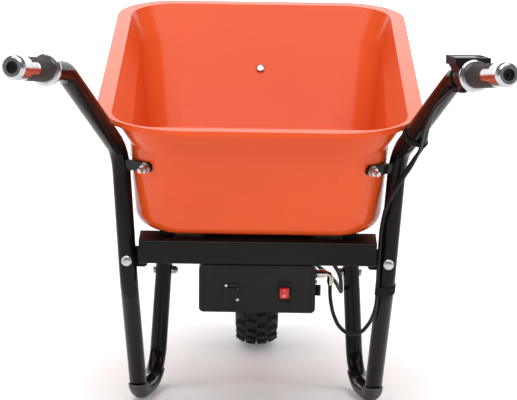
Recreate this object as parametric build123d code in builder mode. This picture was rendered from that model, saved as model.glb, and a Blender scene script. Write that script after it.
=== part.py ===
"""Battery-driven single-wheel wheelbarrow, parked on its two feet and its wheel.

Millimetres. +Z is up from the ground, +Y points forwards to the wheel, and +X is the operator's
right. The origin is on the ground, midway between the grips' rear ends and the front of the tyre.
"""
import os
from math import cos, radians, sin, tan

from build123d import *

os.makedirs("parts", exist_ok=True)

# ---------------------------------------------------------------- driving dimensions
# Layout, forwards from the rear leg tubes and up from the ground
PARK_TILT = 14.0            # slope of the deck, up to the front, while the machine is parked
BEAM_Z = 298.0              # height of the crossbeam's centre line
AXLE_Y = 740.0
TYRE_RADIUS = 190.0
GRIP_REAR_Y = -454.0        # rearmost point of the grips

# Running and assembly clearances
FIT = 0.05                  # radial clearance of a shaft in its bore
GAP = 0.3                   # gap between neighbours that don't touch
BOLT_CLEARANCE = 0.25       # radial clearance round a bolt

# Crossbeam
BEAM_LENGTH = 383.0
BEAM_DEPTH = 50.0
BEAM_HEIGHT = 40.0
BEAM_WALL = 3.0
BEAM_CORNER = 4.0
DRAIN_R = 5.0
EAR_WIDTH = 46.0
EAR_HEIGHT = 34.0
EAR_RAISE = 3.5             # ear's centre above its bolt, clear of the leg's bend
EAR_THICKNESS = 6.0

# Leg tubes
LEG_OD = 29.5
LEG_WALL = 2.0
SPIGOT_LENGTH = 52.0
FOOT_LIFT = 2.5             # thickness of the wear shoe under the tube
BOLT_X = 211.5              # rear bolts through the leg tubes
BOLT_Z = 276.5
LEG_TOP = (224.0, 0.0, 453.0)
LEG_KNEE = (208.5, 0.0, 240.0)
FOOT_REAR = (204.0, 196.0)
FOOT_FRONT = (180.0, 318.0)
SOCKET_BASE = (170.5, 318.0, 183.0)
LEG_TOP_BEND = 60.0
LEG_KNEE_BEND = 70.0
FOOT_BEND = 58.0
SHOE_TOP = 34.0

# Handle tubes and grip bars
HANDLE_OD = 31.0
HANDLE_WALL = 2.0
HANDLE_START = 38.0         # from the leg tube's top corner, along the slope
HANDLE_REACH = 67.0         # from the handle's corner to the grip
HANDLE_BEND = 52.0
GRIP_START = (303.0, -330.0, 595.0)
GRIP_END = (337.0, -450.0, 603.0)
REDUCER_LENGTH = 22.0
BAR_OD = 22.2
BAR_WALL = 2.5
BAR_SEAT = 42.0             # length of the grip bar inside the handle tube

# Grips
GRIP_LENGTH = 124.0
FLANGE_R = 23.5
FLANGE_THICKNESS = 8.0
CORE_R = 13.4
RUBBER_R = 17.2
BARREL_R = 17.6
BARREL_START = 90.0
PLUG_R = 8.6
PLUG_DEPTH = 12.0
TONGUE_WIDTH = 17.0
TONGUE_LENGTH = 26.0

# Throttle housing and display pod on the right handle
HOUSING_LENGTH = 30.0
HOUSING_R = 19.0
POD_WIDTH = 54.0
POD_DEPTH = 38.0
POD_BASE = 18.5
POD_REAR_TOP = 26.0
POD_FRONT_TOP = 32.0
LENS_SIZE = (34.0, 22.0, 1.2)
BUTTON_R = 3.6
BUTTON_TRAVEL = 1.0
SPRING_WIRE_R = 0.7
CABLE_ENTRY = (7.0, 18.0)   # across and down from the right grip's axis

# Lower rails, struts and braces
RAIL_OD = 30.0
RAIL_WALL = 2.0
RAIL_X = 170.0
RAIL_REAR_Z = 303.0
RAIL_KNEE_Y = (338.0, 560.0)
RAIL_END_Y = 698.0
DROPOUT_X = 78.0
DROPOUT_THICKNESS = 6.0
SOCKET_OD = 29.0
SOCKET_LENGTH = 70.0
SPIGOT_ROD = 24.8
SOCKET_BOLT_Z = 213.0
BRACE_SIZE = 25.0
TRAY_RAIL_SIZE = 20.0
STRUT_OD = 25.0
STRUT_REAR_Y = 612.0

# Battery box
BOX_WIDTH = 189.0
BOX_HEIGHT = 82.6
BOX_LENGTH = 300.0
BOX_WALL = 2.0
BOX_EDGE = 7.0
BOX_CORNER = 8.0
COVER_THICKNESS = 3.0

# Charge port and rocker switch, placed across and down from the beam's centre
PORT_AT = (-41.0, -67.5)
PORT_PLATE = (25.0, 31.0)
SWITCH_AT = (44.0, -67.0)
SWITCH_PLATE = (26.0, 37.0)
ROCKER_SIZE = (14.6, 20.0)
SWITCH_TILT = 12.0

# Tray, in the deck's frame: (rear u, front u, rear half width, front half width, corner radii)
TRAY_FLOOR_W = 24.0
TRAY_WAIST_W = 170.0
TRAY_RIM_W = 216.5
TRAY_WALL = 2.5
RIM_LIP = 8.5
FLOOR = (-20.0, 540.0, 198.0, 208.0, 78.0, 78.0)
WAIST = (-36.0, 698.0, 206.0, 236.0, 84.0, 88.0)
RIM = (-42.0, 748.0, 238.0, 253.0, 84.0, 92.0)
FLANGE = (-57.0, 770.0, 262.0, 277.0, 145.0, 112.0)
FLOOR_FILLET = 28.0
PAD_X = 148.0
PAD_U = 12.0
PAD_R = 11.0
CORNER_BOLT_W = 143.0
FRONT_BOLT = (639.0, 115.0)

# Wheel and hub motor, measured out from the wheel's centre plane
TYRE_HALF = 43.0
BEAD_R = 104.0
RIM_HALF = 36.0
MAGNET_R = (78.5, 84.0)
STATOR_R = 77.5
STATOR_HALF = 22.0
AXLE_R = 8.45
AXLE_BOSS_R = 20.0
AXLE_SHOULDER_R = 10.5
AXLE_THREAD_R = 6.0
AXLE_HALF = 104.0
BEARING_R = 17.5
COVER_R = 92.0

# Cables
CABLE_R = 3.2
MOTOR_CABLE_R = 3.6

# ---------------------------------------------------------------- shared geometry
LEG_Y = -(AXLE_Y + TYRE_RADIUS + GRIP_REAR_Y) / 2
LEG_R = LEG_OD / 2
HANDLE_R = HANDLE_OD / 2
RAIL_R = RAIL_OD / 2
BAR_R = BAR_OD / 2
FOOT_Z = FOOT_LIFT + LEG_R
AXLE_Z = TYRE_RADIUS
BOX_TOP_W = -BEAM_HEIGHT / 2
BOX_BOTTOM_W = BOX_TOP_W - BOX_HEIGHT
REAR_U = -BEAM_DEPTH / 2


def at(x, y, z):
    """A point of the parked machine: y forwards of the rear leg tubes, z up from the ground."""
    return Vector(x, y + LEG_Y, z)


tilt = radians(PARK_TILT)
deck = Plane(origin=at(0, 0, BEAM_Z), x_dir=(1, 0, 0), z_dir=(0, -sin(tilt), cos(tilt)))


def deck_point(x, u, w):
    """A point of the sloping deck: u along the deck from the beam's centre, w square to it."""
    return deck.from_local_coords(Vector(x, u, w))


def rear_plane(x, u, w):
    """A plane square to the deck that faces the operator; its y axis points up the deck's normal."""
    return Plane(origin=deck_point(x, u, w), x_dir=(1, 0, 0), z_dir=-deck.y_dir)


def side_plane(x, u, w, side=1):
    """A plane that faces sideways, with its x axis along the deck."""
    return Plane(origin=deck_point(x, u, w), x_dir=deck.y_dir, z_dir=(side, 0, 0))


def turned(plane, *profile):
    """A solid of revolution about the plane's normal, from (radius, height) corners."""
    with BuildPart() as piece:
        with BuildSketch(Plane(plane.origin, x_dir=plane.x_dir, z_dir=-plane.y_dir)):
            with BuildLine():
                Polyline(*profile, close=True)
            make_face()
        revolve(axis=Axis(plane.origin, plane.z_dir))
    return piece.part


def ring(plane, outer, inner, low, high):
    """A plain ring, or a disc when the inner radius is zero."""
    return turned(plane, (inner, low), (outer, low), (outer, high), (inner, high))


def bent_rod(points, radii, radius):
    """A round bar along straight runs joined by tangent arcs."""
    with BuildPart() as piece:
        with BuildLine() as route:
            FilletPolyline(*points, radius=radii)
        path = route.wires()[0]
        with BuildSketch(Plane(origin=path @ 0, z_dir=path % 0)):
            Circle(radius)
        sweep(path=path)
    return piece.part


def rod(start, end, radius):
    """A straight round bar between two points."""
    with BuildPart() as piece:
        with BuildSketch(Plane(origin=start, z_dir=end - start)):
            Circle(radius)
        extrude(amount=(end - start).length)
    return piece.part


def bolt(plane, head_r, head_height, shank_r, length):
    """A dome-headed bolt: the head stands on the plane, and the shank goes down from it."""
    crown = head_height * 0.55
    return turned(
        plane,
        (0, -length),
        (shank_r, -length),
        (shank_r, 0),
        (head_r, 0),
        (head_r, head_height - crown),
        (head_r * 0.72, head_height - crown * 0.25),
        (head_r * 0.3, head_height),
        (0, head_height),
    )


def hex_nut(plane, across_flats, height, bore_r):
    """A hexagon nut that stands on the plane."""
    with BuildPart() as piece:
        with BuildSketch(plane):
            RegularPolygon(across_flats / 2, 6, major_radius=False)
            Circle(bore_r, mode=Mode.SUBTRACT)
        extrude(amount=height)
    return piece.part


def save(piece, name):
    """Label a finished piece and write it as its own STEP file."""
    piece.label = name
    export_step(piece, f"parts/{name}.step")


def save_group(solids, name):
    """Write several like pieces as one node of separate solids."""
    save(Compound(children=list(solids)), name)


SIDES = {"left": -1, "right": 1}

# ---------------------------------------------------------------- crossbeam
with BuildPart() as crossbeam:
    with BuildSketch(side_plane(-BEAM_LENGTH / 2, 0, 0)):
        RectangleRounded(BEAM_DEPTH, BEAM_HEIGHT, BEAM_CORNER)
        RectangleRounded(
            BEAM_DEPTH - 2 * BEAM_WALL, BEAM_HEIGHT - 2 * BEAM_WALL, BEAM_CORNER / 2, mode=Mode.SUBTRACT
        )
    extrude(amount=BEAM_LENGTH)
    for side in SIDES.values():
        # End plate with a drain hole, then the ear that the leg tube is bolted to
        with BuildSketch(side_plane(side * (BEAM_LENGTH / 2 - BEAM_WALL), 0, 0, side)):
            RectangleRounded(BEAM_DEPTH, BEAM_HEIGHT, BEAM_CORNER)
            Circle(DRAIN_R, mode=Mode.SUBTRACT)
        extrude(amount=BEAM_WALL)
        ear_x = side * (BEAM_LENGTH / 2 + EAR_WIDTH / 2 - 12)
        ear_plane = Plane(
            origin=at(ear_x, LEG_R + GAP, BOLT_Z + EAR_RAISE), x_dir=(1, 0, 0), z_dir=(0, 1, 0)
        )
        with BuildSketch(ear_plane):
            RectangleRounded(EAR_WIDTH, EAR_HEIGHT, 6)
            with Locations((side * BOLT_X - ear_x, ear_plane.to_local_coords(at(0, 0, BOLT_Z)).Y)):
                Circle(4 + BOLT_CLEARANCE, mode=Mode.SUBTRACT)
        extrude(amount=EAR_THICKNESS)
save(crossbeam.part, "crossbeam")

# ---------------------------------------------------------------- legs, handles and shoes
socket_axes = {}
cross_bolts = {}
leg_routes = {}
grips = {}
bars = []
for name, side in SIDES.items():
    top = at(side * LEG_TOP[0], *LEG_TOP[1:])
    knee = at(side * LEG_KNEE[0], *LEG_KNEE[1:])
    foot_rear = at(side * FOOT_REAR[0], FOOT_REAR[1], FOOT_Z)
    foot_front = at(side * FOOT_FRONT[0], FOOT_FRONT[1], FOOT_Z)
    socket = at(side * SOCKET_BASE[0], *SOCKET_BASE[1:])
    grip_start = at(side * GRIP_START[0], *GRIP_START[1:])
    grip_end = at(side * GRIP_END[0], *GRIP_END[1:])
    grip_dir = (grip_end - grip_start).normalized()
    corner = grip_start - grip_dir * HANDLE_REACH
    slope = (corner - top).normalized()
    rise = (socket - foot_front).normalized()
    joint = top + slope * HANDLE_START
    socket_axes[name] = (socket, rise)
    leg_route = (joint, top, knee, foot_rear, foot_front, socket)
    leg_bends = [LEG_TOP_BEND, LEG_KNEE_BEND, FOOT_BEND, FOOT_BEND]
    leg_routes[name] = (leg_route, leg_bends)
    bolt_axis = Plane(origin=at(side * BOLT_X, -LEG_OD, BOLT_Z), x_dir=(1, 0, 0), z_dir=(0, 1, 0))
    cross_bolt_at = socket + rise * ((SOCKET_BOLT_Z - SOCKET_BASE[2]) / rise.Z)
    cross_bolts[name] = cross_bolt_at
    cross_axis = Plane(origin=cross_bolt_at - Vector(30, 0, 0), x_dir=(0, 1, 0), z_dir=(1, 0, 0))

    with BuildPart() as leg:
        add(bent_rod(leg_route, leg_bends, LEG_R))
        add(rod(joint, joint + slope * SPIGOT_LENGTH, HANDLE_R - HANDLE_WALL - GAP))
        add(rod(socket, socket + rise * SPIGOT_LENGTH, SPIGOT_ROD / 2))
        add(bent_rod(leg_route, leg_bends, LEG_R - LEG_WALL), mode=Mode.SUBTRACT)
        add(rod(bolt_axis.origin, bolt_axis.origin + Vector(0, 60, 0), 4 + BOLT_CLEARANCE),
            mode=Mode.SUBTRACT)
        add(rod(cross_axis.origin, cross_axis.origin + Vector(60, 0, 0), 4 + BOLT_CLEARANCE),
            mode=Mode.SUBTRACT)
    save(leg.part, f"leg_{name}")

    # Half-round wear shoe under the bend
    shoe_start = foot_rear + (knee - foot_rear).normalized() * 40
    shoe_end = foot_front + rise * 60
    with BuildPart() as shoe:
        with BuildLine() as shoe_line:
            FilletPolyline(shoe_start, foot_rear, foot_front, shoe_end, radius=FOOT_BEND)
        shoe_path = shoe_line.wires()[0]
        with BuildSketch(Plane(origin=shoe_path @ 0, x_dir=(1, 0, 0), z_dir=shoe_path % 0)):
            Circle(LEG_R + FOOT_LIFT)
            Circle(LEG_R, mode=Mode.SUBTRACT)
            with Locations((0, -LEG_OD)):
                Rectangle(3 * LEG_OD, 2 * LEG_OD, mode=Mode.SUBTRACT)
        sweep(path=shoe_path)
        with BuildSketch(Plane.XY.offset(SHOE_TOP)):
            with Locations((0, foot_rear.Y)):
                Rectangle(4 * BOLT_X, 4 * BOLT_X)
        extrude(amount=200, mode=Mode.SUBTRACT)
    save(shoe.part, f"foot_shoe_{name}")

    # Handle tube: a bore for the spigot, and a welded-in reducer that holds the grip bar
    tip = grip_start if side < 0 else grip_start - grip_dir * (HOUSING_LENGTH + GAP)
    bore_end = tip - grip_dir * REDUCER_LENGTH
    with BuildPart() as handle:
        add(bent_rod((joint, corner, tip), HANDLE_BEND, HANDLE_R))
        add(bent_rod((joint, corner, bore_end), HANDLE_BEND, HANDLE_R - HANDLE_WALL), mode=Mode.SUBTRACT)
        add(rod(tip - grip_dir * (BAR_SEAT + 1), tip + grip_dir, BAR_R + FIT), mode=Mode.SUBTRACT)
    save(handle.part, f"handle_{name}")

    # The grip's own plane: z points to the operator, x towards the machine's centre line
    grips[name] = Plane(origin=grip_start, x_dir=(-side, 0, 0), z_dir=grip_dir)
    bars.append(ring(Plane(origin=tip, z_dir=grip_dir), BAR_R, BAR_R - BAR_WALL, -BAR_SEAT,
                     (grip_start - tip).length + GRIP_LENGTH - PLUG_DEPTH - 1))
save_group(bars, "grip_bars")

# ---------------------------------------------------------------- grips
def tongue(plane, grow):
    """The flat-sided tongue of metal that runs from a grip's end barrel into its rubber sleeve."""
    low = BARREL_START - TONGUE_LENGTH - grow
    with BuildPart() as piece:
        with BuildSketch(Plane(plane.origin, x_dir=plane.z_dir, z_dir=plane.x_dir)):
            with Locations(((low + BARREL_START + 2) / 2, 0)):
                RectangleRounded(BARREL_START + 2 - low, TONGUE_WIDTH + 2 * grow, 7)
        extrude(amount=3 * BARREL_R)
    return piece.part


def grip_core(plane, bore):
    """Machined aluminium: double-rimmed flange, sleeve, and an end barrel with a domed rim."""
    with BuildPart() as piece:
        add(
            turned(
                plane,
                (bore, 0),
                (FLANGE_R - 2, 0),
                (FLANGE_R, 2),
                (FLANGE_R, FLANGE_THICKNESS - 3),
                (FLANGE_R - 2.5, FLANGE_THICKNESS - 0.5),
                (FLANGE_R - 5, FLANGE_THICKNESS),
                (CORE_R + 4.5, FLANGE_THICKNESS),
                (CORE_R + 4.5, FLANGE_THICKNESS + 3),
                (CORE_R, FLANGE_THICKNESS + 3.5),
                (CORE_R, BARREL_START),
                (BARREL_R, BARREL_START),
                (BARREL_R, GRIP_LENGTH - 7),
                (BARREL_R - 1.5, GRIP_LENGTH - 3),
                (BARREL_R - 4.5, GRIP_LENGTH),
                (PLUG_R, GRIP_LENGTH),
                (PLUG_R, GRIP_LENGTH - PLUG_DEPTH),
                (bore, GRIP_LENGTH - PLUG_DEPTH),
            )
        )
        with BuildPart(mode=Mode.PRIVATE) as strip:
            add(ring(plane, BARREL_R, CORE_R, BARREL_START - TONGUE_LENGTH - 1, BARREL_START))
            add(tongue(plane, 0), mode=Mode.INTERSECT)
        add(strip.part)
    return piece.part


def grip_rubber(plane):
    """Rubber sleeve on the core, notched round the metal tongue."""
    with BuildPart() as piece:
        add(ring(plane, RUBBER_R, CORE_R + FIT, FLANGE_THICKNESS + 4, BARREL_START - GAP))
        add(tongue(plane, GAP), mode=Mode.SUBTRACT)
    return piece.part


def grip_plug(plane):
    """Black plug in the end barrel, dished round a small centre hole."""
    low, high = GRIP_LENGTH - PLUG_DEPTH, GRIP_LENGTH
    edge = PLUG_R - FIT
    return turned(
        plane, (0, low + 0.2), (edge, low + 0.2), (edge, high - 0.5), (edge - 1.5, high - 0.5),
        (edge - 2.5, high - 4), (2.2, high - 5), (2.2, high - 8), (0, high - 8),
    )


left_grip, right_grip = grips["left"], grips["right"]
save(grip_core(left_grip, BAR_R + FIT), "grip_left_core")
save(grip_rubber(left_grip), "grip_left_rubber")
save(grip_plug(left_grip), "grip_left_plug")

# The right grip turns on its bar: its nose reaches into the housing and carries the magnet
NOSE_LENGTH = 9.0
with BuildPart() as throttle_core:
    add(grip_core(right_grip, BAR_R + FIT))
    add(ring(right_grip, CORE_R, BAR_R + FIT, -NOSE_LENGTH, 0))
save(throttle_core.part, "throttle_core")
save(grip_rubber(right_grip), "throttle_rubber")
save(grip_plug(right_grip), "throttle_plug")

with BuildPart() as throttle_magnet:
    add(ring(right_grip, CORE_R + 2.2, CORE_R, -NOSE_LENGTH + 1, -NOSE_LENGTH + 6))
    with BuildSketch(right_grip.offset(-NOSE_LENGTH)):
        with Locations((HOUSING_R, 0)):
            Rectangle(2 * HOUSING_R, 9)
    extrude(amount=NOSE_LENGTH, mode=Mode.INTERSECT)
save(throttle_magnet.part, "throttle_magnet")

# ---------------------------------------------------------------- throttle housing with its display pod
pod_up = Vector(0, 0, 1) - right_grip.z_dir * right_grip.z_dir.Z
pod_side = Plane(origin=right_grip.origin, x_dir=right_grip.z_dir, z_dir=-(right_grip.z_dir.cross(pod_up)))
CAVITY_R = CORE_R + 3.0
SPRING_LOW = -HOUSING_LENGTH + 4
POD_FRONT = -POD_DEPTH - 0.8
up_sign = 1 if pod_side.y_dir.Z > 0 else -1
with BuildPart() as throttle_housing:
    add(ring(right_grip, HOUSING_R, 0, -HOUSING_LENGTH, -GAP))
    with BuildSketch(pod_side):
        with BuildLine():
            Polyline(
                (POD_FRONT, up_sign * POD_BASE),
                (-0.8, up_sign * POD_BASE),
                (-0.8, up_sign * POD_REAR_TOP),
                (POD_FRONT, up_sign * POD_FRONT_TOP),
                close=True,
            )
        make_face()
    extrude(amount=POD_WIDTH / 2, both=True)
    # Tapered neck between the pod and the clamp ring
    neck = Plane(origin=right_grip.origin, x_dir=pod_side.z_dir, z_dir=right_grip.z_dir)
    neck_sign = 1 if neck.y_dir.Z > 0 else -1
    with BuildSketch(neck.offset(-HOUSING_LENGTH)):
        with BuildLine():
            Polyline(
                (-POD_WIDTH / 2, neck_sign * POD_BASE),
                (POD_WIDTH / 2, neck_sign * POD_BASE),
                (HOUSING_R - 1, neck_sign * 5),
                (-HOUSING_R + 1, neck_sign * 5),
                close=True,
            )
        make_face()
    extrude(amount=HOUSING_LENGTH - 0.8)
    # Boss under the clamp ring that the throttle's cable ends in
    cable_seat = Plane(
        origin=right_grip.from_local_coords(Vector(*CABLE_ENTRY, 0)), x_dir=right_grip.x_dir,
        z_dir=right_grip.z_dir,
    )
    add(ring(cable_seat, CABLE_R + 2.4, 0, -HOUSING_LENGTH, -HOUSING_LENGTH + 14))
    add(ring(cable_seat, CABLE_R + FIT, 0, -HOUSING_LENGTH - 1, -HOUSING_LENGTH + 9.3), mode=Mode.SUBTRACT)
    # Bore for the bar, and the cavity that the grip's nose and the return spring turn in
    add(ring(right_grip, BAR_R + FIT, 0, -HOUSING_LENGTH - 1, 1), mode=Mode.SUBTRACT)
    add(ring(right_grip, CAVITY_R, 0, SPRING_LOW, 1), mode=Mode.SUBTRACT)
pod_top = Plane(
    origin=right_grip.origin + right_grip.z_dir * POD_FRONT + pod_up.normalized() * POD_FRONT_TOP,
    x_dir=pod_side.z_dir,
    z_dir=(right_grip.z_dir * (POD_FRONT_TOP - POD_REAR_TOP)
           + pod_up.normalized() * POD_DEPTH),
)
along = 1 if pod_top.y_dir.dot(right_grip.z_dir) > 0 else -1
lens_at = (-5.0, along * POD_DEPTH / 2)
button_at = (19.5, along * POD_DEPTH / 2)
screw_at = right_grip.origin + right_grip.z_dir * (-HOUSING_LENGTH / 2)
screw_plane = Plane(origin=screw_at - pod_up.normalized() * (HOUSING_R - 2), z_dir=-pod_up)
with BuildPart() as throttle_housing_cut:
    add(throttle_housing.part)
    with BuildSketch(pod_top):
        with Locations(lens_at):
            RectangleRounded(LENS_SIZE[0] + 2 * GAP, LENS_SIZE[1] + 2 * GAP, 2)
        with Locations(button_at):
            Circle(BUTTON_R + GAP)
    extrude(amount=-LENS_SIZE[2] - BUTTON_TRAVEL, mode=Mode.SUBTRACT)
    add(ring(screw_plane, 2.6, 0, -1.5, 4), mode=Mode.SUBTRACT)
save(throttle_housing_cut.part, "throttle_housing")

with BuildPart() as display_lens:
    with BuildSketch(pod_top.offset(-LENS_SIZE[2] - BUTTON_TRAVEL)):
        with Locations(lens_at):
            RectangleRounded(LENS_SIZE[0], LENS_SIZE[1], 1.8)
    extrude(amount=LENS_SIZE[2] + BUTTON_TRAVEL - 0.4)
save(display_lens.part, "display_lens")

with BuildPart() as display_button:
    with BuildSketch(pod_top.offset(GAP / 2 - 1.0)):
        with Locations(button_at):
            Circle(BUTTON_R)
    extrude(amount=2.0)
save(display_button.part, "display_button")
save(ring(screw_plane, 2.5, 0, -1.4, 1.4), "clamp_screw")

with BuildPart() as throttle_spring:
    spring_plane = right_grip.offset(SPRING_LOW + SPRING_WIRE_R + 0.2)
    coil_r = (BAR_R + CAVITY_R) / 2
    with BuildLine():
        coil = Helix(
            pitch=2.4, height=12, radius=coil_r, center=spring_plane.origin, direction=right_grip.z_dir
        )
    with BuildSketch(Plane(origin=coil @ 0, z_dir=coil % 0)):
        Circle(SPRING_WIRE_R)
    sweep()
save(throttle_spring.part, "throttle_spring")

# ---------------------------------------------------------------- lower rails with dropouts and sockets
def rail_point(side, x, y):
    """A point on a rail's centre line, which falls in a straight line from the beam to the axle."""
    return at(side * x, y, RAIL_REAR_Z + (AXLE_Z - RAIL_REAR_Z) * y / AXLE_Y)


beam_front = Plane(origin=deck_point(0, BEAM_DEPTH / 2, 0), z_dir=deck.y_dir)
rail_skins = {}
for name, side in SIDES.items():
    rail_route = (
        rail_point(side, RAIL_X, 0),
        rail_point(side, RAIL_X, RAIL_KNEE_Y[0]),
        rail_point(side, DROPOUT_X, RAIL_KNEE_Y[1]),
        rail_point(side, DROPOUT_X, RAIL_END_Y),
    )
    rail_skins[name] = bent_rod(rail_route, 110, RAIL_R)
    socket_at, socket_dir = socket_axes[name]
    dropout = Plane(
        origin=at(side * DROPOUT_X - DROPOUT_THICKNESS / 2, AXLE_Y, AXLE_Z), x_dir=(0, 1, 0), z_dir=(1, 0, 0)
    )
    with BuildPart() as rail:
        add(rail_skins[name])
        add(rod(socket_at + socket_dir * GAP, socket_at + socket_dir * SOCKET_LENGTH, SOCKET_OD / 2))
        add(bent_rod(rail_route, 110, RAIL_R - RAIL_WALL), mode=Mode.SUBTRACT)
        with BuildSketch(dropout):
            with Locations((-34, 5)):
                RectangleRounded(112, 34, 12)
        extrude(amount=DROPOUT_THICKNESS)
        with BuildSketch(dropout.offset(-1)):
            Circle(AXLE_THREAD_R + BOLT_CLEARANCE)
            with Locations((0, -15)):
                Rectangle(2 * (AXLE_THREAD_R + BOLT_CLEARANCE), 30)
        extrude(amount=DROPOUT_THICKNESS + 2, mode=Mode.SUBTRACT)
        add(rod(socket_at - socket_dir, socket_at + socket_dir * (SPIGOT_LENGTH + 2),
                SPIGOT_ROD / 2 + FIT * 2), mode=Mode.SUBTRACT)
        add(rod(cross_bolts[name] - Vector(30, 0, 0), cross_bolts[name] + Vector(30, 0, 0),
                4 + BOLT_CLEARANCE), mode=Mode.SUBTRACT)
        split(bisect_by=beam_front, keep=Keep.TOP)
    save(rail.part, f"rail_{name}")

# Brace between the rails, under the front of the battery box
BRACE_U = 262.5
with BuildPart() as mid_brace:
    with BuildSketch(side_plane(-RAIL_X, BRACE_U, BOX_BOTTOM_W - BRACE_SIZE / 2)):
        RectangleRounded(BRACE_SIZE, BRACE_SIZE, 3)
        RectangleRounded(BRACE_SIZE - 4, BRACE_SIZE - 4, 1.5, mode=Mode.SUBTRACT)
    extrude(amount=2 * RAIL_X)
    for skin in rail_skins.values():
        add(skin, mode=Mode.SUBTRACT)
mid_brace_part = mid_brace.part.solids().sort_by(SortBy.VOLUME)[-1]
save(Part(mid_brace_part.wrapped), "mid_brace")

# ---------------------------------------------------------------- tray
def tray_outline(w, sizes, grow=0.0):
    """The tray's outline at one level: a tapering four-sided figure with rounded corners."""
    rear_u, front_u, rear_half, front_half, rear_r, front_r = sizes
    with BuildSketch(deck.offset(w)) as outline:
        with BuildLine():
            Polyline(
                (-rear_half - grow, rear_u - grow),
                (rear_half + grow, rear_u - grow),
                (front_half + grow, front_u + grow),
                (-front_half - grow, front_u + grow),
                close=True,
            )
        make_face()
        fillet(outline.vertices().group_by(Axis.Y)[0], rear_r + grow)
        fillet(outline.vertices().group_by(Axis.Y)[-1], front_r + grow)
    return outline.sketch


def tray_bowl(shrink):
    """The tray's bowl as a solid: the outer skin, or with a wall's shrink, the space inside it."""
    with BuildPart() as bowl:
        sections = [
            tray_outline(TRAY_FLOOR_W + shrink, FLOOR, -shrink),
            tray_outline(TRAY_WAIST_W, WAIST, -shrink),
            tray_outline(TRAY_RIM_W, RIM, -shrink),
        ]
        loft([section.face() for section in sections], ruled=True)
        floor_face = bowl.faces().filter_by(GeomType.PLANE).sort_by(Axis(deck.origin, deck.z_dir))[0]
        fillet(floor_face.edges(), FLOOR_FILLET - shrink)
    return bowl.part


def wall_seat(start, aim):
    """A plane on the tray's outer skin where a line meets it: z points outwards, y up the wall."""
    hits = tray_skin.find_intersection_points(Axis(start, aim - start))
    point, normal = min(hits, key=lambda hit: (hit[0] - start).length)
    return Plane(origin=point, x_dir=Vector(0, 0, 1).cross(normal), z_dir=normal)


tray_skin = tray_bowl(0)
# Bolt seats: one on each rear corner, and one in the middle of the front wall
seats = {}
for name, side in SIDES.items():
    corner_at = deck_point(side * 127, 47, CORNER_BOLT_W)
    seats[name] = wall_seat(deck_point(side * 227, -79, CORNER_BOLT_W), corner_at)
front_seat = wall_seat(
    deck_point(0, FRONT_BOLT[0] + 68, FRONT_BOLT[1] - 74), deck_point(0, FRONT_BOLT[0], FRONT_BOLT[1])
)
with BuildPart() as tray:
    add(tray_skin)
    add(tray_outline(TRAY_RIM_W, FLANGE))
    extrude(amount=-RIM_LIP)
    # Under the flange, between the bowl and the turned-down lip
    with BuildPart(mode=Mode.PRIVATE) as channel:
        add(tray_outline(TRAY_RIM_W - TRAY_WALL, FLANGE, -TRAY_WALL))
        extrude(amount=-RIM_LIP)
        add(tray_skin, mode=Mode.SUBTRACT)
    add(channel.part, mode=Mode.SUBTRACT)
    add(tray_bowl(TRAY_WALL), mode=Mode.SUBTRACT)
    for seat in (*seats.values(), front_seat):
        add(ring(seat, 4 + BOLT_CLEARANCE, 0, -12, 12), mode=Mode.SUBTRACT)
save(tray.part, "tray")

# Rubber pads between the crossbeam and the tray's floor
pads = []
for side in SIDES.values():
    pad_plane = Plane(origin=deck_point(side * PAD_X, PAD_U, 0), z_dir=deck.z_dir)
    pads.append(ring(pad_plane, PAD_R, 4, BEAM_HEIGHT / 2, TRAY_FLOOR_W))
save_group(pads, "tray_pads")

# ---------------------------------------------------------------- brackets and tray bolts
BRACKET_HEIGHT = 17.0
BRACKET_THICKNESS = 4.0
HEAD_R = 8.3
HEAD_HEIGHT = 4.6
WASHER_R = 8.5
WASHER_THICKNESS = 1.6
NUT_FLATS = 13.0
NUT_HEIGHT = 6.5
brackets = []
tray_bolts = []
tray_nuts = []
for name, side in SIDES.items():
    seat = seats[name]
    tube_at = at(side * (LEG_TOP[0] - 1), 0, seat.origin.Z)
    outward = 1 if seat.to_local_coords(tube_at).X > 0 else -1
    plan = Plane(origin=seat.origin, x_dir=seat.x_dir * outward, z_dir=seat.y_dir)
    reach = plan.to_local_coords(tube_at)
    wall_side = 1 if plan.to_local_coords(seat.origin + seat.z_dir).Y > 0 else -1
    off = wall_side * (BRACKET_THICKNESS / 2 + 0.1)
    with BuildPart() as bracket:
        with BuildSketch(plan.offset(-BRACKET_HEIGHT / 2)):
            with BuildLine():
                Polyline((-10, off), (14, off), (reach.X - 3, reach.Y + wall_side * 4))
            trace(line_width=BRACKET_THICKNESS)
        extrude(amount=BRACKET_HEIGHT)
        tip_edges = bracket.edges().filter_by(Axis(seat.origin, seat.z_dir)).sort_by(
            Axis(seat.origin, plan.x_dir)
        )[:2]
        fillet(tip_edges, BRACKET_HEIGHT * 0.45)
        add(ring(seat, 4 + BOLT_CLEARANCE, 0, -1, 12), mode=Mode.SUBTRACT)
        add(bent_rod(*leg_routes[name], LEG_R + 0.1), mode=Mode.SUBTRACT)
    brackets.append(bracket.part.solids().sort_by(Axis(seat.origin, plan.x_dir))[0])
    inside = Plane(origin=seat.origin - seat.z_dir * (TRAY_WALL + 0.6), x_dir=seat.x_dir, z_dir=-seat.z_dir)
    tray_bolts.append(bolt(inside, HEAD_R, HEAD_HEIGHT, 4, 24))
    outer = seat.offset(BRACKET_THICKNESS + 0.2)
    tray_nuts.append(ring(outer, WASHER_R, 4.05, 0, WASHER_THICKNESS))
    tray_nuts.append(hex_nut(outer.offset(WASHER_THICKNESS + 0.1), NUT_FLATS, NUT_HEIGHT, 4.05))
save_group(brackets, "tray_brackets")

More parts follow.
